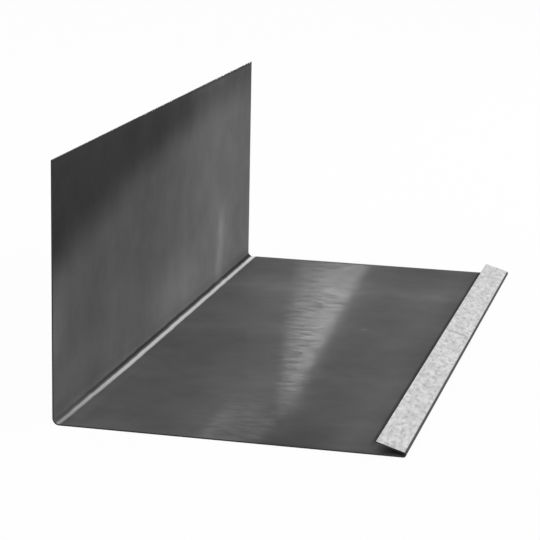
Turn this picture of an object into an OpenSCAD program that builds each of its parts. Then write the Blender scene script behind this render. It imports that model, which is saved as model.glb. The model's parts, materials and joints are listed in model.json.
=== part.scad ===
// Angle flashing: one piece of sheet metal with an upstand, a rounded bend, a flat base
// and a water fold that stands a little open along the free edge of the base.
// The base lies on the XY plane. X runs from the upstand to the fold, Y along the length.
// The origin is under the middle of the base.

/* [Sheet] */
// Thickness of the sheet
sheet_t = 0.7; // [0.5:0.05:1.2]
// Length of the piece
piece_l = 400; // [150:10:3000]

/* [Base and upstand] */
// Width of the base, from the outer face of the upstand to the outside of the fold
base_w = 180; // [80:1:330]
// Height of the upstand, along its outer face from the corner with the underside of the base
upstand_h = 135; // [40:1:250]
// Angle between the base and the upstand, in degrees
corner_angle = 90; // [80:1:135]
// Inner radius of the bend between them
bend_r = 3; // [0.5:0.25:8]

/* [Water fold] */
// Depth of the fold, from its outside to the free edge of the lip
fold_w = 16; // [8:0.5:30]
// Clear height inside the root of the fold
fold_gap = 1.4; // [0.8:0.1:4]
// Angle at which the lip stands open above the base, in degrees
lip_angle = 17; // [0:1:45]

/* [Hidden] */
$fn = 96;
sheet_colour = "#54565a";

// The sheet turns by these angles at its two bends
bend_turn = 180 - corner_angle;
fold_turn = 180 - lip_angle;

// Outer radii of the two bends
bend_outer_r = bend_r + sheet_t;
fold_r = fold_gap / 2;
fold_outer_r = fold_r + sheet_t;

// Length that the bend takes from the outer face of each flat that it joins
bend_setback = bend_outer_r * tan(bend_turn / 2);

// The flats between and beside the bends
base_flat = base_w - bend_setback - fold_outer_r;
upstand_flat = upstand_h - bend_setback;
lip_flat = fold_w - fold_outer_r;

// A flat stretch of the section: it starts at the origin and runs along +X, with the
// outer face of the sheet on the X axis. What follows it is placed at its end.
module flat_stretch(stretch_l) {
    square([stretch_l, sheet_t]);
    translate([stretch_l, 0]) children();
}

// A bent stretch of the section, of up to half a turn: it carries on from the origin
// along +X and turns towards +Y, with the outer face of the sheet on the outside.
// What follows it is placed at its end, turned to carry on from it.
module bent_stretch(turn, inner_r) {
    outer_r = inner_r + sheet_t;
    translate([0, outer_r]) {
        intersection() {
            difference() {
                circle(r = outer_r);
                circle(r = inner_r);
            }
            // The side of the ring that lies past the start of the bend
            translate([0, -outer_r])
                square(2 * outer_r);
            // The side of the ring that lies before its end
            rotate(turn)
                translate([-2 * outer_r, -outer_r])
                    square(2 * outer_r);
        }
        rotate(turn)
            translate([0, -outer_r])
                children();
    }
}

// The section of the sheet, followed from the top of the upstand to the free edge of
// the lip. The outer faces of the upstand and the base, drawn on, meet at the origin.
module section() {
    translate(upstand_h * [cos(corner_angle), sin(corner_angle)])
        rotate(180 + corner_angle)
            flat_stretch(upstand_flat)
                bent_stretch(bend_turn, bend_r)
                    flat_stretch(base_flat)
                        bent_stretch(fold_turn, fold_r)
                            flat_stretch(lip_flat);
}

// The whole piece: the section drawn out along its length.
module flashing_sheet() {
    color(sheet_colour)
        translate([-base_w / 2, 0, 0])
            rotate([90, 0, 0])
                linear_extrude(height = piece_l, center = true)
                    section();
}

flashing_sheet();
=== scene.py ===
"""Angle flashing: the folded sheet with its finishes, on a pale floor in soft studio light."""

from __future__ import annotations

import json
import logging
import math
from collections.abc import Callable, Sequence
from dataclasses import dataclass, field, replace
from enum import Enum

import bpy
from bpy.types import Material, Node, NodeSocket, NodeTree, Object
from mathutils import Matrix, Vector

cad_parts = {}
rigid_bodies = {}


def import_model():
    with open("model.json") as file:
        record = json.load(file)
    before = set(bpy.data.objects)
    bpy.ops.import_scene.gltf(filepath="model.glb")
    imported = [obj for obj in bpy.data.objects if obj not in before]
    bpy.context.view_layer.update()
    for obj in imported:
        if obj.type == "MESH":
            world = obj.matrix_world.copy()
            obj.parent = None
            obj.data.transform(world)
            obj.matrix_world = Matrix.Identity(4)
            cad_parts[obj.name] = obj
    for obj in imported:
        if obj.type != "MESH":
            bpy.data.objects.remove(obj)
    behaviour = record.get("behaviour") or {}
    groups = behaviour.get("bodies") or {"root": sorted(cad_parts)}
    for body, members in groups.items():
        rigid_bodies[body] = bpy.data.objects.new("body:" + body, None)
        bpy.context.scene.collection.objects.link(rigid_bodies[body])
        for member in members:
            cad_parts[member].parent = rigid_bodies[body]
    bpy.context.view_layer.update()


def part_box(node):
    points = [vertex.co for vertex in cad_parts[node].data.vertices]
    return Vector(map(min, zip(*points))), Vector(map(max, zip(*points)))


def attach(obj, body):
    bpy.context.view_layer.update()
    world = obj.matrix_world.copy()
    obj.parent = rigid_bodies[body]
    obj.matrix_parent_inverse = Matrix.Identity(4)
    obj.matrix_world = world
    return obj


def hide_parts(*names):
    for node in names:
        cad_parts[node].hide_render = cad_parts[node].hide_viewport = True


log = logging.getLogger("angle_flashing")

MM = 0.001
NODE = "flashing_sheet"
BODY = "root"
UNROLLED = "unrolled"

# Two lengths or angles closer than this are the same.
CLOSE = 1e-6

# Most of a noise's values lie between these.
NOISE_SPREAD = (0.3, 0.7)

# Sockets that are set together: those of a Map Range that take a range, which is two values
# and what they become, and those of a noise.
FROM = ("From Min", "From Max")
TO = ("To Min", "To Max")
RANGE = FROM + TO
NOISE = ("Vector", "Scale", "Detail", "Roughness")

# Settings that several nodes share.
MULTIPLY = {"operation": "MULTIPLY"}
MULTIPLY_ADD = {"operation": "MULTIPLY_ADD"}
SMOOTH = {"interpolation_type": "SMOOTHSTEP"}

# A Mix node's colour sockets by number, as their names are also those of its other sockets.
FIRST_COLOUR = 6
SECOND_COLOUR = 7
MIXED_COLOUR = 2


class SheetSide(Enum):
    """The surfaces of the sheet, numbered by the material slot that each one takes."""

    REVERSE = 0
    FACE = 1
    CUT_EDGE = 2


def linear_colour(hex_code: str) -> tuple[float, float, float, float]:
    """Turns an sRGB hex colour into the linear colour that shaders use.

    Args:
        hex_code: The colour as six hex digits, such as "808080".

    Returns:
        Red, green, blue and an alpha of 1, all linear.
    """
    channels = [int(hex_code[i : i + 2], 16) / 255 for i in (0, 2, 4)]
    linear = [c / 12.92 if c <= 0.04045 else ((c + 0.055) / 1.055) ** 2.4 for c in channels]
    return (linear[0], linear[1], linear[2], 1.0)


def add_node(
    tree: NodeTree,
    kind: str,
    settings: dict[str, object] | None = None,
    inputs: dict[str | int | tuple[str, ...], object] | None = None,
) -> Node:
    """Adds one shader node with its settings, and its input values or links.

    Args:
        tree: The node tree that the node goes into.
        kind: The node's type name.
        settings: Attribute names and values of the node itself.
        inputs: Sockets by name or number, each with a value, an output socket to link, or a
            node whose first output is linked. A tuple of sockets takes a tuple of these, and
            where that is shorter, the last sockets are left as they are.

    Returns:
        The new node.
    """
    node = tree.nodes.new(kind)
    for name, value in (settings or {}).items():
        setattr(node, name, value)
    for sockets, values in (inputs or {}).items():
        if not isinstance(sockets, tuple):
            sockets, values = (sockets,), (values,)
        for socket, value in zip(sockets, values):
            if isinstance(value, Node):
                value = value.outputs[0]
            if isinstance(value, NodeSocket):
                tree.links.new(value, node.inputs[socket])
            else:
                node.inputs[socket].default_value = value
    return node


def new_material(name: str) -> tuple[Material, NodeTree]:
    """Makes an empty node material.

    Args:
        name: The material's name.

    Returns:
        The material and its emptied node tree.
    """
    material = bpy.data.materials.new(name)
    material.use_nodes = True
    material.node_tree.nodes.clear()
    return material, material.node_tree


def lay_shades(tree: NodeTree, colour: object, shades: Sequence[tuple[Node, str]]) -> NodeSocket:
    """Lays shades over a finish's colour, one after the other.

    Args:
        tree: The finish's node tree.
        colour: The colour, or what holds it.
        shades: Where each shade lies, and its hex colour.

    Returns:
        The output that holds the shaded colour.
    """
    for factor, shade in shades:
        colour = add_node(
            tree,
            "ShaderNodeMix",
            {"data_type": "RGBA"},
            {"Factor": factor, FIRST_COLOUR: colour, SECOND_COLOUR: linear_colour(shade)},
        ).outputs[MIXED_COLOUR]
    return colour


@dataclass(frozen=True)
class SheetMap:
    """A finish's node tree, with the coordinates of the sheet that its marks are placed by.

    x, y and z are the object's own. Along is the length of sheet from the upstand's top, over
    the bend, the base and the fold to the lip.
    """

    tree: NodeTree
    place: NodeSocket
    unrolled: NodeSocket
    x: NodeSocket
    y: NodeSocket
    z: NodeSocket
    along: NodeSocket

    @classmethod
    def add(cls, tree: NodeTree) -> SheetMap:
        """Adds the coordinates to a finish.

        Args:
            tree: The finish's node tree.

        Returns:
            The tree with its coordinates.
        """
        place = add_node(tree, "ShaderNodeTexCoord").outputs["Object"]
        unrolled = add_node(tree, "ShaderNodeUVMap", {"uv_map": UNROLLED}).outputs["UV"]
        x, y, z = add_node(tree, "ShaderNodeSeparateXYZ", inputs={"Vector": place}).outputs
        along = add_node(tree, "ShaderNodeSeparateXYZ", inputs={"Vector": unrolled}).outputs["X"]
        return cls(tree, place, unrolled, x, y, z, along)


@dataclass(frozen=True)
class Band:
    """A band across one coordinate: 1 round its middle, falling softly to 0 at its reach.

    The soft part is a share of the reach.
    """

    middle: float
    reach: float
    soft: float = 1.0

    def add(self, tree: NodeTree, value: Node | NodeSocket) -> Node:
        """Adds the band to a finish.

        Args:
            tree: The finish's node tree.
            value: The coordinate that crosses the band.

        Returns:
            The node that holds the band.
        """
        off = add_node(tree, "ShaderNodeMath", {"operation": "SUBTRACT"}, {0: value, 1: self.middle})
        distance = add_node(tree, "ShaderNodeMath", {"operation": "ABSOLUTE"}, {0: off})
        edge = (self.reach, self.reach * (1 - self.soft))
        return add_node(tree, "ShaderNodeMapRange", SMOOTH, {"Value": distance, FROM: edge})


@dataclass(frozen=True)
class Patch:
    """A soft patch: where bands across some of the sheet's coordinates meet."""

    x: Band | None = None
    y: Band | None = None
    z: Band | None = None
    along: Band | None = None

    def add(self, sheet: SheetMap) -> Node:
        """Adds the patch to a finish.

        Args:
            sheet: The sheet's coordinates.

        Returns:
            The node that is 1 in the patch and 0 outside it.
        """
        bands = ((self.x, sheet.x), (self.y, sheet.y), (self.z, sheet.z), (self.along, sheet.along))
        patch, *others = (band.add(sheet.tree, value) for band, value in bands if band)
        for other in others:
            patch = add_node(sheet.tree, "ShaderNodeMath", MULTIPLY, {0: patch, 1: other})
        return patch


@dataclass(frozen=True)
class PatinatedFace:
    """The sheet's visible face: zinc-coated steel, cold rolled and chemically darkened.

    The bath leaves a dull, uneven dark grey under a very thin glossy film, so the sheet looks
    matt until light meets it at a low angle, and then shows a soft glare. The rolls leave fine
    lines across the sheet, which streak that glare. A dark reflection is painted along the
    upstand's top, and the pale streaked tail of the glare is painted at the base's near edge. A
    bright highlight is painted along the inside of the bend, with a line of painted shade above
    it, and painted shade in the crease on both sides. The upstand's top edge is darker, and a
    painted shadow lies on the base before the mouth of the fold. Painted light makes the upstand
    a little pale at its foot, it is paler at its near edge halfway up, a leaning rub mark lies
    near the far end, and the base has a small dent's painted highlight.

    Each tone is the share by which it makes the grey lighter, or darker where it is negative.
    Four numbers in a row are a range: two values, and what they become.
    """

    bend_start: float
    bend_run: float
    lip_line: float
    name: str = "patinated_zinc_face"

    # The greys of the skin; of the painted dark reflection, painted shade, painted shadow and darker
    # top line that darken it; and of the painted highlight and worn bare metal.
    colour: str = "5f5f5f"
    dark_reflection_grey: str = "414141"
    painted_shade_line_grey: str = "2e2e2e"
    top_line_and_lip_shadow: str = "3e3e3e"
    highlight_and_bare_metal: str = "f6f6f6"

    # Clouds in the skin, and upright bands where the bath drained.
    cloud_size: float = 30 * MM
    cloud_detail: float = 4.0
    cloud_roughness: float = 0.6
    cloud_tones: float = 0.1
    drain_spacing: float = 90 * MM
    drain_detail: float = 2.0
    drain_tones: float = 0.06

    # On the real sheet the roll lines are tenths of a millimetre apart, too fine to show, so
    # they are drawn several millimetres apart. They streak the film and the fan.
    line_spacing: float = 4.8 * MM
    line_length: float = 12 * MM
    line_detail: float = 2.4
    line_roughness: float = 0.55
    line_tones: float = 0.025
    line_depth: float = 0.013 * MM
    streaks: tuple[float, ...] = (0.38, 0.62, 0.5, 1.5)

    # Slow changes of tone: painted light and shade up the upstand, paler at its foot and darker at
    # its shoulder, most so at the near end; then by length; and painted light and shade where the
    # base meets the upstand.
    near_edge: float = -200 * MM
    far_edge: float = 200 * MM
    foot: float = 20 * MM
    shoulder: float = 90 * MM
    foot_tones: float = 0.1
    shoulder_tones: float = -0.24
    shoulder_far: float = 0.3
    palest: float = 130 * MM
    length_tones: float = 0.12
    corner: Patch = Patch(x=Band(-85 * MM, 55 * MM, 0.9), z=Band(0, 8 * MM, 0.6))
    corner_tones: float = 0.16

    # Soft patches, each with its tone. The fan, a painted reflection of the glare's tail, is
    # streaked besides.
    patches: tuple[tuple[float, Patch], ...] = (
        # The far end, a halo round the rub mark, the near edge paler halfway up, and painted light on
        # the upstand's foot.
        (-0.11, Patch(y=Band(200 * MM, 110 * MM))),
        (0.12, Patch(y=Band(122.5 * MM, 45 * MM), z=Band(24 * MM, 48 * MM, 0.6))),
        (0.32, Patch(y=Band(-200 * MM, 28 * MM, 0.75), z=Band(59 * MM, 30 * MM, 0.6))),
        (0.28, Patch(y=Band(20 * MM, 115 * MM), along=Band(117 * MM, 33 * MM))),
        # Along the base a lane of painted dark reflection, painted light on a flank beside the bend,
        # the painted reflection of the glare's tail, a painted darker shade beside it, and a stretch
        # beside the fold, which the lip throws light on.
        (-0.2, Patch(x=Band(28 * MM, 45 * MM))),
        (0.22, Patch(x=Band(-83 * MM, 8 * MM), y=Band(-170 * MM, 130 * MM))),
        (0.16, Patch(x=Band(-12 * MM, 50 * MM), y=Band(-120 * MM, 130 * MM))),
        (-0.16, Patch(x=Band(34 * MM, 24 * MM, 0.7), y=Band(-200 * MM, 70 * MM, 0.8))),
        (0.14, Patch(x=Band(68 * MM, 26 * MM), y=Band(-110 * MM, 130 * MM))),
    )
    # The fan is the painted reflection of the glare's pale streaked tail at the base's near edge.
    fan: Patch = Patch(x=Band(1 * MM, 20 * MM, 0.4), y=Band(-200 * MM, 92 * MM, 0.7))
    fan_tones: float = 0.25

    # The painted dark reflection's edge is an ellipse round its middle, at the far end.
    reflection_middle: tuple[float, float, float] = (0.0, 200 * MM, 0.0)
    reflection_reach: tuple[float, float, float] = (1000 * MM, 530 * MM, 120 * MM)
    reflection_edge: tuple[float, ...] = (0.88, 1.1, 0.0, 1.0)
    near_end: float = 20 * MM
    far_end: float = 95 * MM
    far_reflection: float = 0.75

    # Darker along the upstand's top, and a painted shadow on the base just before the lip.
    top_edge: Patch = Patch(along=Band(0.0, 2.5 * MM, 0.8))
    mouth_off: float = 2.8 * MM
    mouth_reach: float = 2 * MM
    mouth_length: Band = Band(12 * MM, 207 * MM, 0.1)

    # In the bend: the sheet paler on both sides, painted shade in the crease, a painted highlight
    # along the bend's inside, and a line of painted shade above it. The places and widths of the
    # highlight and the shade line are shares of the bend's run. At the near end they are narrower
    # and fainter, and lie a little higher, and they wander all along.
    near_bend_reach: float = 60 * MM
    near_bend_tones: float = 0.09
    crease_shade_reach: float = 10 * MM
    crease_shade_soft: float = 0.7
    crease_shade_tones: float = -0.1
    glint_middle: float = 1.1
    glint_reach: float = 0.38
    glint_soft: float = 0.75
    glint_drift: float = 0.22
    glint_narrowing: float = 1.2
    glint_wander: float = 0.07
    wander_spacing: float = 16 * MM
    shade_line_off: float = -0.64
    shade_line_reach: float = 0.4
    full_from: float = -90 * MM
    near_glint: float = 0.3
    near_shade_line: float = 0.55

    # What has rubbed against the sheet, a leaning mark as patchy as the clouds, and a small
    # dent's painted highlight.
    rub: Patch = Patch(y=Band(118.5 * MM, 14 * MM), z=Band(25 * MM, 32 * MM, 0.8))
    rub_lean: float = 0.12
    rub_wear: float = 0.062
    rub_patches: tuple[float, ...] = (0.4, 0.6, 0.5, 1.4)
    dent_highlight: Patch = Patch(x=Band(25 * MM, 4 * MM), y=Band(29 * MM, 2.5 * MM))
    dent_highlight_share: float = 0.06

    # Gloss of the skin, drawn out along the roll lines, and of the film, which thins towards
    # the far end.
    metallic: float = 0.15
    highlight_and_wear_metallic: float = 0.25
    roughness: float = 0.5
    edge_tint: tuple[float, float, float, float] = (0.5, 0.5, 0.5, 1.0)
    drawn_out: float = 0.5
    quarter_turn: float = 0.25
    film_start: float = -20 * MM
    film_near: float = 0.0184
    film_far: float = 0.00928
    film_in_reflection: float = 0.15
    film_roughness: float = 0.06

    def add_lines(self, sheet: SheetMap) -> Node:
        """Adds the fine lines that the rolls leave across the sheet.

        Args:
            sheet: The sheet's coordinates.

        Returns:
            The noise node.
        """
        scale = (1 / self.line_length, 1 / self.line_spacing, 1)
        drawn_out = add_node(
            sheet.tree, "ShaderNodeMapping", inputs={"Vector": sheet.unrolled, "Scale": scale}
        )
        lines = (drawn_out, 1.0, self.line_detail, self.line_roughness)
        return add_node(sheet.tree, "ShaderNodeTexNoise", inputs={NOISE: lines})

    def add_clouds(self, sheet: SheetMap) -> Node:
        """Adds the clouds that the bath leaves in the skin.

        Args:
            sheet: The sheet's coordinates.

        Returns:
            The noise node.
        """
        clouds = (sheet.place, 1 / self.cloud_size, self.cloud_detail, self.cloud_roughness)
        return add_node(sheet.tree, "ShaderNodeTexNoise", inputs={NOISE: clouds})

    def add_near(self, sheet: SheetMap) -> Node:
        """Adds how near the near end is.

        Args:
            sheet: The sheet's coordinates.

        Returns:
            The node that is 1 at the near end and 0 at the far one.
        """
        nearing = (self.near_end, self.far_end, 1.0, 0.0)
        return add_node(sheet.tree, "ShaderNodeMapRange", SMOOTH, {"Value": sheet.y, RANGE: nearing})

    def add_noise_tones(self, sheet: SheetMap, clouds: Node, lines: Node) -> list[Node]:
        """Adds the uneven tones of the bath: clouds, drain bands and roll lines.

        Args:
            sheet: The sheet's coordinates.
            clouds: The noise of the clouds.
            lines: The noise of the roll lines.

        Returns:
            Nodes that each hold a factor round 1.
        """
        drains = add_node(
            sheet.tree,
            "ShaderNodeTexNoise",
            {"noise_dimensions": "1D"},
            {"W": sheet.y, "Scale": 1 / self.drain_spacing, "Detail": self.drain_detail},
        )
        uneven = ((clouds, self.cloud_tones), (drains, self.drain_tones), (lines, self.line_tones))
        return [
            add_node(
                sheet.tree,
                "ShaderNodeMapRange",
                {"clamp": False},
                {"Value": noise, RANGE: (*NOISE_SPREAD, 1 - tones, 1 + tones)},
            )
            for noise, tones in uneven
        ]

    def add_slow_tones(self, sheet: SheetMap, near: Node) -> list[Node]:
        """Adds painted light and shade up the upstand and into the corner, and tones along the sheet.

        Args:
            sheet: The sheet's coordinates.
            near: How near the near end is.

        Returns:
            Nodes that each hold a factor round 1.
        """
        tree = sheet.tree
        height = (self.foot, self.shoulder)
        rising = add_node(tree, "ShaderNodeMapRange", inputs={"Value": sheet.z, FROM: height})
        depth = add_node(tree, "ShaderNodeMapRange", inputs={"Value": near, "To Min": self.shoulder_far})
        fading = add_node(tree, "ShaderNodeMath", MULTIPLY, {0: rising, 1: depth})
        by_height = (1 + self.foot_tones, 1 + self.shoulder_tones)
        by_length = (self.near_edge, self.palest, 1 - self.length_tones, 1 + self.length_tones)
        by_corner = (self.near_edge, self.far_edge, self.corner_tones, -self.corner_tones)
        upright = add_node(tree, "ShaderNodeMapRange", inputs={"Value": fading, TO: by_height})
        lengthwise, slope = (
            add_node(tree, "ShaderNodeMapRange", inputs={"Value": sheet.y, RANGE: change})
            for change in (by_length, by_corner)
        )
        # Painted light where the base meets the upstand towards the near end, painted shade towards the far
        # end.
        corner = self.corner.add(sheet)
        evened = add_node(tree, "ShaderNodeMath", MULTIPLY_ADD, {0: corner, 1: slope, 2: 1.0})
        return [upright, lengthwise, evened]

    def add_patch_tones(self, sheet: SheetMap, streaks: Node) -> list[Node]:
        """Adds the tones of the soft patches, of the sheet round the bend with painted shade in its
        crease, and of the streaked fan, a painted reflection.

        Args:
            sheet: The sheet's coordinates.
            streaks: The streaks of the roll lines.

        Returns:
            Nodes that each hold a factor round 1.
        """
        tree = sheet.tree
        bend = self.bend_start + self.bend_run / 2
        patches = (
            *self.patches,
            (self.near_bend_tones, Patch(along=Band(bend, self.near_bend_reach))),
            # Painted shade in the crease of the bend.
            (self.crease_shade_tones, Patch(along=Band(bend, self.crease_shade_reach, self.crease_shade_soft))),
        )
        fan = add_node(tree, "ShaderNodeMath", MULTIPLY, {0: self.fan.add(sheet), 1: streaks})
        placed = [(self.fan_tones, fan), *((tones, patch.add(sheet)) for tones, patch in patches)]
        return [
            add_node(tree, "ShaderNodeMapRange", {"clamp": False}, {"Value": part, TO: (1.0, 1 + tones)})
            for tones, part in placed
        ]

    def add_dark_reflection(self, sheet: SheetMap, near: Node) -> Node:
        """Adds the painted dark reflection along the upstand's top.

        Args:
            sheet: The sheet's coordinates.
            near: How near the near end is.

        Returns:
            The node that is 1 in the painted dark reflection and 0 outside it.
        """
        tree = sheet.tree
        bath = add_node(
            tree,
            "ShaderNodeMapping",
            {"vector_type": "TEXTURE"},
            {"Vector": sheet.place, "Location": self.reflection_middle, "Scale": self.reflection_reach},
        )
        away = add_node(tree, "ShaderNodeVectorMath", {"operation": "LENGTH"}, {0: bath}).outputs["Value"]
        edge = add_node(tree, "ShaderNodeMapRange", SMOOTH, {"Value": away, RANGE: self.reflection_edge})
        depth = add_node(tree, "ShaderNodeMapRange", inputs={"Value": near, "To Min": self.far_reflection})
        return add_node(tree, "ShaderNodeMath", MULTIPLY, {0: edge, 1: depth})

    def add_near_ramp(self, sheet: SheetMap, near: float, far: float) -> Node:
        """Adds a value that changes towards the near end, where the painted highlight and shade are
        fainter.

        Args:
            sheet: The sheet's coordinates.
            near: The value at the near edge.
            far: The value from where they are full.

        Returns:
            The node that holds the value.
        """
        press = (self.near_edge, self.full_from, near, far)
        return add_node(sheet.tree, "ShaderNodeMapRange", inputs={"Value": sheet.y, RANGE: press})

    def add_met(self, sheet: SheetMap) -> Node:
        """Adds the distance along the section from the middle of the painted highlight's line.

        Args:
            sheet: The sheet's coordinates.

        Returns:
            The node that holds the distance.
        """
        tree = sheet.tree
        middle = self.bend_start + self.glint_middle * self.bend_run
        drift = self.add_near_ramp(sheet, self.glint_drift * self.bend_run - middle, -middle)
        narrowed = self.add_near_ramp(sheet, self.glint_narrowing, 1.0)
        wander = add_node(
            tree,
            "ShaderNodeTexNoise",
            {"noise_dimensions": "1D"},
            {"W": sheet.y, "Scale": 1 / self.wander_spacing, "Detail": 1.0},
        )
        most = self.glint_wander * self.bend_run
        aside = add_node(tree, "ShaderNodeMapRange", inputs={"Value": wander, TO: (-most, most)})
        met = sheet.along
        for step, change in (("ADD", drift), ("ADD", aside), ("MULTIPLY", narrowed)):
            met = add_node(tree, "ShaderNodeMath", {"operation": step}, {0: met, 1: change})
        return met

    def add_highlight_and_wear(self, sheet: SheetMap, clouds: Node, met: Node) -> Node:
        """Adds the painted highlights in the bend and on a small dent, and the rub's wear.

        Args:
            sheet: The sheet's coordinates.
            clouds: The noise of the clouds.
            met: The distance from the middle of the painted highlight's line.

        Returns:
            The node that is 1 where the highlight is painted, and where the metal is bare.
        """
        tree = sheet.tree
        # The painted highlight along the inside of the bend.
        glint = Band(0.0, self.glint_reach * self.bend_run, self.glint_soft).add(tree, met)
        glint_strength = self.add_near_ramp(sheet, self.near_glint, 1.0)
        lean = {0: sheet.z, 1: -self.rub_lean, 2: sheet.y}
        leaning = add_node(tree, "ShaderNodeMath", MULTIPLY_ADD, lean).outputs["Value"]
        rub = self.rub.add(replace(sheet, y=leaning))
        patchy = add_node(tree, "ShaderNodeMapRange", inputs={"Value": clouds, RANGE: self.rub_patches})
        highlight_and_wear, rubbed = (
            add_node(tree, "ShaderNodeMath", MULTIPLY, {0: mark, 1: share})
            for mark, share in ((glint, glint_strength), (rub, patchy))
        )
        for mark, share in ((rubbed, self.rub_wear), (self.dent_highlight.add(sheet), self.dent_highlight_share)):
            highlight_and_wear = add_node(tree, "ShaderNodeMath", MULTIPLY_ADD, {0: mark, 1: share, 2: highlight_and_wear})
        return highlight_and_wear

    def add_shade_line(self, sheet: SheetMap, met: Node) -> Node:
        """Adds the painted shade in a line above the painted highlight in the bend.

        Args:
            sheet: The sheet's coordinates.
            met: The distance from the middle of the painted highlight's line.

        Returns:
            The node that is 1 where the painted shade is darkest.
        """
        shade_line = Band(self.shade_line_off * self.bend_run, self.shade_line_reach * self.bend_run).add(sheet.tree, met)
        shade_line_strength = self.add_near_ramp(sheet, self.near_shade_line, 1.0)
        return add_node(sheet.tree, "ShaderNodeMath", MULTIPLY, {0: shade_line, 1: shade_line_strength})

    def add_colour(
        self, sheet: SheetMap, shade_line: Node, dark_reflection: Node, tones: Sequence[Node], highlight_and_wear: Node
    ) -> NodeSocket:
        """Adds the colour: the grey skin, the painted reflection, shade and shadow that darken it, its
        tones, and the painted highlight and worn metal.

        Args:
            sheet: The sheet's coordinates.
            shade_line: Where the painted shade line lies above the highlight.
            dark_reflection: Where the dark reflection is painted.
            tones: Factors round 1 that the skin's colour is multiplied by.
            highlight_and_wear: Where the highlight is painted, and where the metal is bare.

        Returns:
            The output that holds the colour.
        """
        # Painted shadow on the base under the lip's edge, before the mouth of the fold.
        mouth = Patch(y=self.mouth_length, along=Band(self.lip_line - self.mouth_off, self.mouth_reach))
        darker = [
            (dark_reflection, self.dark_reflection_grey),
            (self.top_edge.add(sheet), self.top_line_and_lip_shadow),
            (mouth.add(sheet), self.top_line_and_lip_shadow),
            (shade_line, self.painted_shade_line_grey),
        ]
        colour: object = lay_shades(sheet.tree, linear_colour(self.colour), darker)
        for tone in tones:
            colour = add_node(
                sheet.tree, "ShaderNodeVectorMath", {"operation": "SCALE"}, {0: colour, "Scale": tone}
            )
        return lay_shades(sheet.tree, colour, [(highlight_and_wear, self.highlight_and_bare_metal)])

    def add_film(self, sheet: SheetMap, streaks: Node, dark_reflection: Node) -> Node:
        """Adds the film's share: streaked by the roll lines, thinner towards the far end, and
        nearly gone in the painted dark reflection.

        Args:
            sheet: The sheet's coordinates.
            streaks: The streaks of the roll lines.
            dark_reflection: Where the dark reflection is painted.

        Returns:
            The node that holds the share.
        """
        cleared = {"Value": dark_reflection, TO: (1.0, self.film_in_reflection)}
        thinning = (self.film_start, self.far_edge, self.film_near, self.film_far)
        share = streaks
        for change in (cleared, {"Value": sheet.y, RANGE: thinning}):
            left = add_node(sheet.tree, "ShaderNodeMapRange", inputs=change)
            share = add_node(sheet.tree, "ShaderNodeMath", MULTIPLY, {0: share, 1: left})
        return share

    def build(self) -> Material:
        """Makes the node material.

        Returns:
            The material.
        """
        material, tree = new_material(self.name)
        sheet = SheetMap.add(tree)
        lines = self.add_lines(sheet)
        streaks = add_node(tree, "ShaderNodeMapRange", inputs={"Value": lines, RANGE: self.streaks})
        clouds = self.add_clouds(sheet)
        near = self.add_near(sheet)
        # A dark reflection, painted along the upstand's top.
        dark_reflection = self.add_dark_reflection(sheet, near)
        met = self.add_met(sheet)
        highlight_and_wear = self.add_highlight_and_wear(sheet, clouds, met)
        tones = [
            *self.add_noise_tones(sheet, clouds, lines),
            *self.add_slow_tones(sheet, near),
            *self.add_patch_tones(sheet, streaks),
        ]
        metallic = add_node(
            tree, "ShaderNodeMapRange", inputs={"Value": highlight_and_wear, TO: (self.metallic, self.highlight_and_wear_metallic)}
        )
        relief = add_node(
            tree, "ShaderNodeBump", inputs={"Height": lines, "Strength": 1.0, "Distance": self.line_depth}
        )
        tangent = add_node(tree, "ShaderNodeTangent", {"direction_type": "UV_MAP", "uv_map": UNROLLED})
        shader = add_node(
            tree,
            "ShaderNodeBsdfPrincipled",
            inputs={
                "Base Color": self.add_colour(sheet, self.add_shade_line(sheet, met), dark_reflection, tones, highlight_and_wear),
                "Metallic": metallic,
                "Roughness": self.roughness,
                "Specular Tint": self.edge_tint,
                "Specular IOR Level": 0.0,
                "Anisotropic": self.drawn_out,
                "Anisotropic Rotation": self.quarter_turn,
                "Tangent": tangent,
                "Normal": relief,
                "Coat Weight": self.add_film(sheet, streaks, dark_reflection),
                "Coat Roughness": self.film_roughness,
                "Coat Normal": relief,
            },
        )
        add_node(tree, "ShaderNodeOutputMaterial", inputs={"Surface": shader})
        return material


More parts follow.
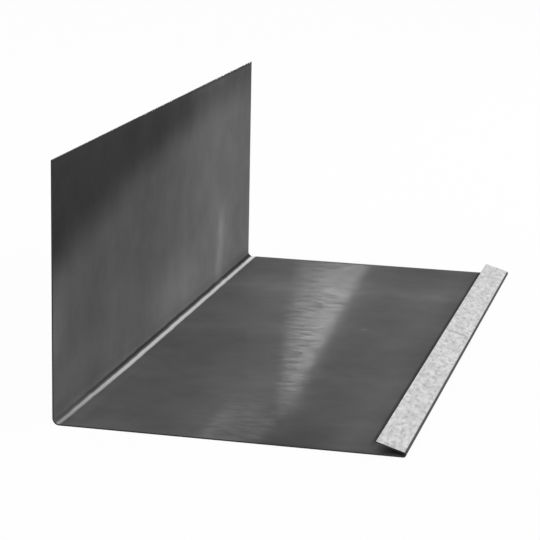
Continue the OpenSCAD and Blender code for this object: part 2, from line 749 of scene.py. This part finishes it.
@dataclass(frozen=True)
class ZincReverse:
    """The sheet's reverse: bare hot-dip zinc, temper rolled.

    The bath's zinc sets in small crystals, each of which gives back the light a little
    differently, so the pale dull surface is mottled in soft greys, with a few small dark
    flecks. Rolling has drawn the crystals out along the sheet. Round the tight fold a dark
    shade is painted on the zinc, and the lip has one crosswise scratch.
    """

    fold_start: float
    fold_run: float
    lip_width: float
    name: str = "temper_rolled_zinc_reverse"
    colour: str = "d4d4d4"
    dull: str = "b6b6b6"
    fleck: str = "aaaaaa"
    fold_shade_grey: str = "282828"

    # The real crystals are about a millimetre across or less, and are drawn coarser to show.
    crystal_size: float = 2.3 * MM
    crystal_softness: float = 0.6
    grain_size: float = 2.6 * MM
    grain_detail: float = 3.0
    grain_roughness: float = 0.6
    grain_share: float = 0.6
    grain_tones: tuple[float, float] = (0.22, 0.66)
    fleck_size: float = 2.2 * MM
    fleck_edge: tuple[float, float] = (0.48, 0.28)
    drawn_out: float = 2.4

    # The painted shade's middle and reach are shares of the fold's run.
    fold_shade_middle: float = 0.48
    fold_shade_reach: float = 0.53
    mark_soft: float = 0.3
    scratch: Band = Band(22 * MM, 3 * MM)
    metallic: float = 0.6
    roughness: float = 0.6
    specular: float = 0.2

    def add_crystals(self, sheet: SheetMap) -> NodeSocket:
        """Adds the colour of the crystals: soft patches between two greys, with small flecks.

        Args:
            sheet: The sheet's coordinates.

        Returns:
            The output that holds the colour.
        """
        tree = sheet.tree
        scale = (1, 1 / self.drawn_out, 1)
        rolled = add_node(tree, "ShaderNodeMapping", inputs={"Vector": sheet.unrolled, "Scale": scale})
        crystals = add_node(
            tree,
            "ShaderNodeTexVoronoi",
            {"feature": "SMOOTH_F1"},
            {"Vector": rolled, "Scale": 1 / self.crystal_size, "Smoothness": self.crystal_softness},
        )
        turned = add_node(tree, "ShaderNodeSeparateColor", inputs={"Color": crystals.outputs["Color"]})
        grains = (rolled, 1 / self.grain_size, self.grain_detail, self.grain_roughness)
        grain = add_node(tree, "ShaderNodeTexNoise", inputs={NOISE: grains})
        flecks = add_node(tree, "ShaderNodeTexNoise", inputs={NOISE: (rolled, 1 / self.fleck_size, 1.0)})
        mixed = add_node(
            tree, "ShaderNodeMix", {"data_type": "FLOAT"}, {"Factor": self.grain_share, 2: turned, 3: grain}
        )
        pale, spots = (
            add_node(tree, "ShaderNodeMapRange", inputs={"Value": value, FROM: ends})
            for value, ends in ((mixed, self.grain_tones), (flecks, self.fleck_edge))
        )
        return lay_shades(tree, linear_colour(self.dull), [(pale, self.colour), (spots, self.fleck)])

    def build(self) -> Material:
        """Makes the node material.

        Returns:
            The material.
        """
        material, tree = new_material(self.name)
        sheet = SheetMap.add(tree)
        fold_middle = self.fold_start + self.fold_shade_middle * self.fold_run
        fold_shade = Patch(along=Band(fold_middle, self.fold_shade_reach * self.fold_run, self.mark_soft))
        lip_middle = self.fold_start + self.fold_run + self.lip_width / 2
        scratch = Patch(y=self.scratch, along=Band(lip_middle, self.lip_width / 2, self.mark_soft))
        marks = [(scratch.add(sheet), self.fleck), (fold_shade.add(sheet), self.fold_shade_grey)]
        shader = add_node(
            tree,
            "ShaderNodeBsdfPrincipled",
            inputs={
                "Base Color": lay_shades(tree, self.add_crystals(sheet), marks),
                "Metallic": self.metallic,
                "Roughness": self.roughness,
                "Specular IOR Level": self.specular,
            },
        )
        add_node(tree, "ShaderNodeOutputMaterial", inputs={"Surface": shader})
        return material


@dataclass(frozen=True)
class ShearedEdge:
    """The cut edges: bare mild steel, sheared.

    The blade drags fine burrs across the cut, so the narrow edge looks dark and unevenly dull.
    The drag is drawn coarser than it is, as the edge is about a pixel wide.
    """

    name: str = "sheared_steel_edge"
    colour: str = "363636"
    drag_size: float = 0.8 * MM
    drag_detail: float = 2.0
    metallic: float = 0.4
    smoothest: float = 0.32
    roughest: float = 0.52
    specular: float = 0.1

    def build(self) -> Material:
        """Makes the node material.

        Returns:
            The material.
        """
        material, tree = new_material(self.name)
        place = add_node(tree, "ShaderNodeTexCoord").outputs["Object"]
        burrs = (place, 1 / self.drag_size, self.drag_detail)
        drag = add_node(tree, "ShaderNodeTexNoise", inputs={NOISE: burrs})
        dulling = (*NOISE_SPREAD, self.smoothest, self.roughest)
        shader = add_node(
            tree,
            "ShaderNodeBsdfPrincipled",
            inputs={
                "Base Color": linear_colour(self.colour),
                "Metallic": self.metallic,
                "Roughness": add_node(tree, "ShaderNodeMapRange", inputs={"Value": drag, RANGE: dulling}),
                "Specular IOR Level": self.specular,
            },
        )
        add_node(tree, "ShaderNodeOutputMaterial", inputs={"Surface": shader})
        return material


@dataclass
class FlashingSheet:
    """The folded sheet: a strip drawn across the piece from the top of the upstand to the
    free edge of the lip, given the thickness of the sheet.

    The strip is the outer surface of the sheet, and its thickness goes to the inside.
    """

    low: Vector
    high: Vector
    thickness: float = 0.7 * MM
    bend_radius: float = 3.0 * MM
    fold_radius: float = 0.7 * MM
    fold_depth: float = 16.0 * MM
    bend_turn: float = math.radians(90)
    lip_angle: float = math.radians(17)
    bend_steps: int = 16
    fold_steps: int = 24
    pitch_along: float = 5 * MM
    pitch_across: float = 6 * MM
    edge_rounding: float = 0.08 * MM
    edge_steps: int = 2
    cut_angle: float = math.radians(60)
    smooth_angle: float = math.radians(30)
    sheet: Object | None = field(default=None, init=False)

    @property
    def bend_outer(self) -> float:
        """Outer radius of the bend between the upstand and the base."""
        return self.bend_radius + self.thickness

    @property
    def fold_outer(self) -> float:
        """Outer radius of the fold."""
        return self.fold_radius + self.thickness

    @property
    def length(self) -> float:
        """Length of the piece along Y."""
        return self.high.y - self.low.y

    @property
    def upstand_flat(self) -> float:
        """Height of the flat part of the upstand."""
        return self.high.z - self.bend_centre.z

    @property
    def base_flat(self) -> float:
        """Width of the flat part of the base."""
        return self.fold_centre.x - self.bend_centre.x

    @property
    def lip_flat(self) -> float:
        """Width of the flat part of the lip."""
        return self.fold_depth - self.fold_outer

    @property
    def bend_run(self) -> float:
        """Length of sheet in the bend, along its outer face."""
        return self.bend_outer * self.bend_turn

    @property
    def lip_line(self) -> float:
        """Length of sheet from the upstand's top to the base about under the lip's edge."""
        return self.fold_start - self.lip_flat

    @property
    def fold_start(self) -> float:
        """Length of sheet from the upstand's top to the fold."""
        return self.upstand_flat + self.bend_run + self.base_flat

    @property
    def fold_run(self) -> float:
        """Length of sheet in the fold, along its outer face."""
        return self.fold_outer * self.fold_turn

    @property
    def fold_turn(self) -> float:
        """Angle that the sheet turns through at the fold."""
        return math.pi - self.lip_angle

    @property
    def bend_centre(self) -> Vector:
        """A point on the axis of the bend."""
        return Vector((self.low.x + self.bend_outer, 0, self.low.z + self.bend_outer))

    @property
    def fold_centre(self) -> Vector:
        """A point on the axis of the fold."""
        return Vector((self.high.x - self.fold_outer, 0, self.low.z + self.fold_outer))

    def lay_upstand(self) -> None:
        """Adds the upstand as a plane in the outer face of the sheet, and opens it for editing."""
        middle = Vector((self.low.x, 0, self.bend_centre.z + self.upstand_flat / 2))
        bpy.ops.object.select_all(action="DESELECT")
        bpy.ops.mesh.primitive_plane_add(size=1, location=middle, rotation=(0, math.radians(-90), 0))
        self.sheet = bpy.context.object
        self.sheet.name = "folded_sheet"
        self.sheet.scale = (self.upstand_flat, self.length, 1)
        bpy.ops.object.transform_apply(location=True, rotation=True, scale=True)
        bpy.ops.object.mode_set(mode="EDIT")
        bpy.ops.mesh.select_mode(type="EDGE")

    def select_edges(self, wanted: Callable[[Vector, Vector], bool]) -> None:
        """Selects the edges whose two ends pass a test, and nothing else.

        Args:
            wanted: Takes the two ends of an edge and says whether it is one of them.
        """
        bpy.ops.object.mode_set(mode="OBJECT")
        mesh = self.sheet.data
        mesh.polygons.foreach_set("select", [False] * len(mesh.polygons))
        mesh.vertices.foreach_set("select", [False] * len(mesh.vertices))
        for edge in mesh.edges:
            edge.select = wanted(*(mesh.vertices[i].co for i in edge.vertices))
        for edge in mesh.edges:
            if edge.select:
                for i in edge.vertices:
                    mesh.vertices[i].select = True
        bpy.ops.object.mode_set(mode="EDIT")

    def spin_edge(self, centre: Vector, turn: float, steps: int) -> None:
        """Turns the selected edge about an axis along Y, from the upstand's side to the lip's.

        Args:
            centre: A point on the axis.
            turn: Angle of the bend.
            steps: Number of flat steps that the bend is made of.
        """
        bpy.ops.mesh.spin(steps=steps, angle=turn, center=centre, axis=(0, 1, 0))

    def draw_strip(self) -> None:
        """Carries the strip on through the bend, the base and the fold to the end of the lip."""
        self.select_edges(lambda a, b: max(a.z, b.z) < self.bend_centre.z + CLOSE)
        self.spin_edge(self.bend_centre, self.bend_turn, self.bend_steps)
        bpy.ops.mesh.extrude_region_move(TRANSFORM_OT_translate={"value": (self.base_flat, 0, 0)})
        self.spin_edge(self.fold_centre, self.fold_turn, self.fold_steps)
        back = Vector((-math.cos(self.lip_angle), 0, math.sin(self.lip_angle))) * self.lip_flat
        bpy.ops.mesh.extrude_region_move(TRANSFORM_OT_translate={"value": back})

    def divide(self) -> None:
        """Divides the strip into short lengths, and its flats into narrow strips."""
        bpy.ops.mesh.select_all(action="DESELECT")
        self.select_edges(lambda a, b: abs(a.y - b.y) > self.length / 2)
        bpy.ops.mesh.subdivide(number_cuts=round(self.length / self.pitch_along) - 1)
        for wide in (self.upstand_flat, self.base_flat):
            self.select_edges(lambda a, b, wide=wide: abs((a - b).length - wide) < CLOSE)
            bpy.ops.mesh.subdivide(number_cuts=round(wide / self.pitch_across) - 1)

    def unrolled(self, point: Vector) -> float:
        """Gives a point's distance from the top of the upstand, along the outer face.

        Args:
            point: A point of the strip.

        Returns:
            The distance, measured as on the flat sheet before it was bent.
        """
        if point.x < self.bend_centre.x:
            turned = math.atan2(self.bend_centre.z - point.z, self.bend_centre.x - point.x)
            if turned <= 0:
                return self.high.z - point.z
            return self.upstand_flat + self.bend_outer * turned
        if point.z < self.low.z + CLOSE and point.x <= self.fold_centre.x:
            return self.upstand_flat + self.bend_run + point.x - self.bend_centre.x
        away = point - self.fold_centre
        turned = math.atan2(away.x, -away.z)
        if turned < 0:
            turned += math.tau
        if turned <= self.fold_turn + CLOSE:
            return self.fold_start + self.fold_outer * turned
        lip_run = away.x * -math.cos(self.lip_angle) + away.z * math.sin(self.lip_angle)
        return self.fold_start + self.fold_run + lip_run

    def unroll(self) -> None:
        """Gives the strip a UV map in metres: across the flat sheet, then along it."""
        mesh = self.sheet.data
        while mesh.uv_layers:
            mesh.uv_layers.remove(mesh.uv_layers[0])
        layer = mesh.uv_layers.new(name=UNROLLED)
        for loop in mesh.loops:
            corner = mesh.vertices[loop.vertex_index].co
            layer.data[loop.index].uv = (self.unrolled(corner), corner.y - self.low.y)

    def give_thickness(self) -> None:
        """Thickens the strip inwards, and rounds the cut edges a little."""
        solid = self.sheet.modifiers.new("thickness", "SOLIDIFY")
        solid.thickness = self.thickness
        solid.offset = -1
        solid.use_even_offset = True
        solid.material_offset = SheetSide.FACE.value
        solid.material_offset_rim = SheetSide.CUT_EDGE.value
        bpy.ops.object.modifier_apply(modifier=solid.name)
        bevel = self.sheet.modifiers.new("cut_edges", "BEVEL")
        bevel.width = self.edge_rounding
        bevel.segments = self.edge_steps
        bevel.limit_method = "ANGLE"
        bevel.angle_limit = self.cut_angle
        bevel.material = SheetSide.CUT_EDGE.value
        bpy.ops.object.modifier_apply(modifier=bevel.name)

    def dress(self, finishes: dict[SheetSide, Material]) -> None:
        """Gives each surface of the sheet its finish.

        Args:
            finishes: The material of each surface.
        """
        for side in SheetSide:
            self.sheet.data.materials.append(finishes[side])

    def build(self, finishes: dict[SheetSide, Material]) -> Object:
        """Models the sheet and dresses it.

        Args:
            finishes: The material of each surface.

        Returns:
            The finished object.
        """
        self.lay_upstand()
        self.dress(finishes)
        self.draw_strip()
        self.divide()
        bpy.ops.mesh.select_all(action="SELECT")
        bpy.ops.mesh.normals_make_consistent(inside=False)
        bpy.ops.object.mode_set(mode="OBJECT")
        self.unroll()
        self.give_thickness()
        bpy.ops.object.shade_smooth_by_angle(angle=self.smooth_angle)
        return self.sheet


@dataclass(frozen=True)
class Grading:
    """How a light's brightness changes over its face.

    The stops give the brightness at shares of its width. From the start of its tail the lit
    part narrows, on the side of the last stop, and grows dimmer towards the end.
    """

    stops: tuple[tuple[float, float], ...]
    tail_start: float
    tail: float
    narrowing: float

    def add(self, tree: NodeTree) -> Node:
        """Adds the brightness to a light.

        Args:
            tree: The light's node tree.

        Returns:
            The node that holds the brightness.
        """
        face = add_node(tree, "ShaderNodeNewGeometry").outputs["Parametric"]
        x, y, _ = add_node(tree, "ShaderNodeSeparateXYZ", inputs={"Vector": face}).outputs
        narrowed, dimmed = (
            add_node(
                tree, "ShaderNodeMapRange", inputs={"Value": y, RANGE: (self.tail_start, 1.0, 1.0, end)}
            )
            for end in (self.narrowing, self.tail)
        )
        share = add_node(tree, "ShaderNodeMath", MULTIPLY, {0: x, 1: narrowed})
        across = add_node(tree, "ShaderNodeValToRGB", inputs={"Fac": share})
        ramp = across.color_ramp.elements
        while len(ramp) < len(self.stops):
            ramp.new(0.5)
        for element, (position, grey) in zip(ramp, self.stops):
            element.position = position
            element.color = (grey, grey, grey, 1.0)
        return add_node(tree, "ShaderNodeMath", MULTIPLY, {0: across, 1: dimmed})


@dataclass(frozen=True)
class SoftBox:
    """A studio light: a glowing rectangle, aimed at a point and turned about its own axis."""

    name: str
    place: Vector
    aim: Vector
    width: float
    height: float
    power: float
    turn: float = 0.0
    grading: Grading | None = None

    def build(self) -> None:
        """Adds the light."""
        lamp = bpy.data.lights.new(self.name, "AREA")
        lamp.shape = "RECTANGLE"
        lamp.size = self.width
        lamp.size_y = self.height
        lamp.energy = self.power
        if self.grading:
            lamp.use_nodes = True
            tree = lamp.node_tree
            tree.nodes.clear()
            glow = add_node(tree, "ShaderNodeEmission", inputs={"Strength": self.grading.add(tree)})
            add_node(tree, "ShaderNodeOutputLight", inputs={"Surface": glow})
        light = bpy.data.objects.new(self.name, lamp)
        facing = (self.aim - self.place).to_track_quat("-Z", "Y").to_matrix()
        turned = facing @ Matrix.Rotation(self.turn, 3, "Z")
        light.matrix_world = Matrix.LocRotScale(self.place, turned.to_quaternion(), None)
        light.visible_camera = False
        bpy.context.scene.collection.objects.link(light)


@dataclass
class Studio:
    """The pale floor, the white surroundings, the lights and the camera."""

    floor_size: float = 12.0
    floor_colour: str = "fafafa"
    floor_roughness: float = 0.5
    floor_whiteness: float = 0.94
    surroundings: float = 0.72
    lens: float = 134.7
    sensor: float = 36.0
    sight: float = 100.0
    camera_place: Vector = field(default_factory=lambda: Vector((238.4, -1118.9, 309.4)) * MM)
    look_down: float = math.radians(13.19)
    look_aside: float = math.radians(13.32)
    tilt: float = math.radians(1.10)
    lights: Sequence[SoftBox] = ()

    def add_seen_directly(self, tree: NodeTree) -> Node:
        """Adds the test for a background that is seen, mirrored or looked through.

        Args:
            tree: The node tree of the floor or the world.

        Returns:
            A node whose value is 1 there, and 0 where the background only gives light.
        """
        path = add_node(tree, "ShaderNodeLightPath").outputs
        seen = path["Is Camera Ray"]
        for ray in ("Is Glossy Ray", "Is Transmission Ray"):
            seen = add_node(tree, "ShaderNodeMath", {"operation": "MAXIMUM"}, {0: seen, 1: path[ray]})
        return seen

    def add_floor(self) -> Object:
        """Adds the floor, level with the underside of the base.

        Returns:
            The floor's object.
        """
        bpy.ops.object.select_all(action="DESELECT")
        bpy.ops.mesh.primitive_plane_add(size=self.floor_size, location=(0, 0, 0))
        floor = bpy.context.object
        floor.name = "floor"
        bpy.ops.object.transform_apply(location=True, rotation=True, scale=True)
        material, tree = new_material("pale_floor")
        paint = add_node(
            tree,
            "ShaderNodeBsdfDiffuse",
            inputs={"Color": linear_colour(self.floor_colour), "Roughness": self.floor_roughness},
        )
        white = add_node(tree, "ShaderNodeEmission", inputs={"Strength": 1.0})
        seen = self.add_seen_directly(tree)
        share = add_node(tree, "ShaderNodeMath", MULTIPLY, {0: seen, 1: self.floor_whiteness})
        shader = add_node(tree, "ShaderNodeMixShader", inputs={0: share, 1: paint, 2: white})
        add_node(tree, "ShaderNodeOutputMaterial", inputs={"Surface": shader})
        floor.data.materials.append(material)
        return floor

    def add_surroundings(self) -> None:
        """Sets the even white light that comes from all round."""
        world = bpy.data.worlds.new("white_studio")
        world.use_nodes = True
        tree = world.node_tree
        tree.nodes.clear()
        seen = self.add_seen_directly(tree)
        strength = add_node(tree, "ShaderNodeMapRange", inputs={"Value": seen, "To Min": self.surroundings})
        glow = add_node(
            tree, "ShaderNodeBackground", inputs={"Color": (1.0, 1.0, 1.0, 1.0), "Strength": strength}
        )
        add_node(tree, "ShaderNodeOutputWorld", inputs={"Surface": glow})
        bpy.context.scene.world = world

    def add_camera(self) -> None:
        """Adds the camera at the photograph's viewing angle."""
        data = bpy.data.cameras.new("camera")
        data.lens = self.lens
        data.sensor_width = self.sensor
        data.clip_end = self.sight
        camera = bpy.data.objects.new("camera", data)
        aim = (
            Matrix.Rotation(self.look_aside, 3, "Z")
            @ Matrix.Rotation(math.pi / 2 - self.look_down, 3, "X")
            @ Matrix.Rotation(self.tilt, 3, "Z")
        )
        camera.matrix_world = Matrix.LocRotScale(self.camera_place, aim.to_quaternion(), None)
        bpy.context.scene.collection.objects.link(camera)
        bpy.context.scene.camera = camera

    def build(self) -> None:
        """Builds the studio."""
        self.add_floor()
        self.add_surroundings()
        for light in self.lights:
            light.build()
        self.add_camera()
        bpy.context.scene.view_settings.view_transform = "Standard"


def studio_lights() -> list[SoftBox]:
    """Gives the lights: a large one overhead, one at the side, and a long strip low behind.

    The strip faces up and leans away, so it hardly lights the piece, but the film on the base
    mirrors it. It runs away from the piece, and its reflection narrows towards the camera to
    the wedge of glare that the photograph shows, brightest along its right edge.

    Returns:
        The lights.
    """
    stops = ((0.0, 0.3), (0.04, 1.0), (0.33, 1.0), (0.55, 0.68), (0.78, 0.4), (0.89, 0.17), (1.0, 0.0))
    return [
        SoftBox(
            "overhead_softbox",
            place=Vector((0.5, -0.3, 1.8)),
            aim=Vector((0, 0, 0)),
            width=1.2,
            height=1.2,
            power=3.0,
        ),
        SoftBox(
            "side_softbox",
            place=Vector((1.2, 0.6, 0.4)),
            aim=Vector((-0.09, 0, 0.06)),
            width=0.7,
            height=0.5,
            power=9.0,
        ),
        SoftBox(
            "rear_strip",
            place=Vector((-0.881, 3.85, 1.163)),
            aim=Vector((-0.881, 3.503, 2.163)),
            width=0.09,
            height=6.4,
            power=77.0,
            turn=math.radians(-12.9),
            grading=Grading(stops=stops, tail_start=0.2, tail=0.6, narrowing=1.5),
        ),
    ]


def main() -> None:
    """Builds the piece and its studio."""
    logging.basicConfig(level=logging.INFO, format="%(name)s: %(message)s")
    for thing in list(bpy.data.objects):
        bpy.data.objects.remove(thing)
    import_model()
    Studio(lights=studio_lights()).build()
    sheet = FlashingSheet(*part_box(NODE))
    finishes = {
        SheetSide.REVERSE: ZincReverse(sheet.fold_start, sheet.fold_run, sheet.lip_flat).build(),
        SheetSide.FACE: PatinatedFace(sheet.upstand_flat, sheet.bend_run, sheet.lip_line).build(),
        SheetSide.CUT_EDGE: ShearedEdge().build(),
    }
    piece = sheet.build(finishes)
    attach(piece, BODY)
    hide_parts(NODE)
    log.info("%s: %d faces", piece.name, len(piece.data.polygons))


if __name__ == "__main__":
    main()
